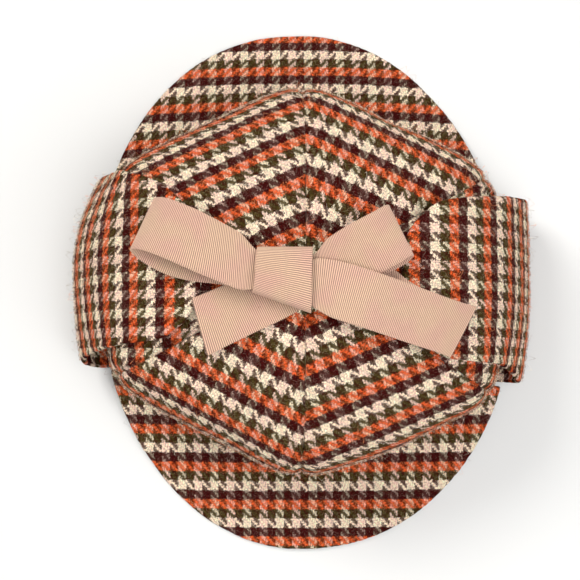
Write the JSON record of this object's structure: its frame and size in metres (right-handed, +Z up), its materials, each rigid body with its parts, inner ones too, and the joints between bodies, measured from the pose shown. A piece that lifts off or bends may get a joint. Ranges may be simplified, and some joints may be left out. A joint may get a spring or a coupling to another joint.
{
  "type": "deerstalker hat",
  "caption": "Deerstalker hat in houndstooth tweed with peaks front and back and ear flaps tied up over the crown with a ribbon bow.",
  "frame": {"origin": "centre of the hat's footprint on the plane that its peaks rest on", "axes": "+Z up, -Y towards the front peak, +X towards the left ear of a wearer, which is the right of a view from above with the front peak down"},
  "size_m": [0.2385, 0.2812, 0.1325],
  "materials": {
    "tweed": "matte woven wool tweed, houndstooth check in orange, plum, cream and green with a light surface fuzz",
    "ribbon": "soft sheen grosgrain ribbon in dusty pink beige with fine cross ribs"
  },
  "bodies": {
    "root": {"crown_gore_back_right": "tweed", "crown_gore_right": "tweed", "crown_gore_front_right": "tweed", "crown_gore_front_left": "tweed", "crown_gore_left": "tweed", "crown_gore_back_left": "tweed", "peak_back": "tweed", "peak_front": "tweed", "ear_flap_left": "tweed", "ear_flap_right": "tweed", "ribbon_tie_left": "ribbon", "ribbon_tie_right": "ribbon", "bow_tail_left": "ribbon", "bow_loop_left": "ribbon", "bow_loop_right": "ribbon", "bow_tail_right": "ribbon", "bow_knot": "ribbon"}
  },
  "joints": []
}
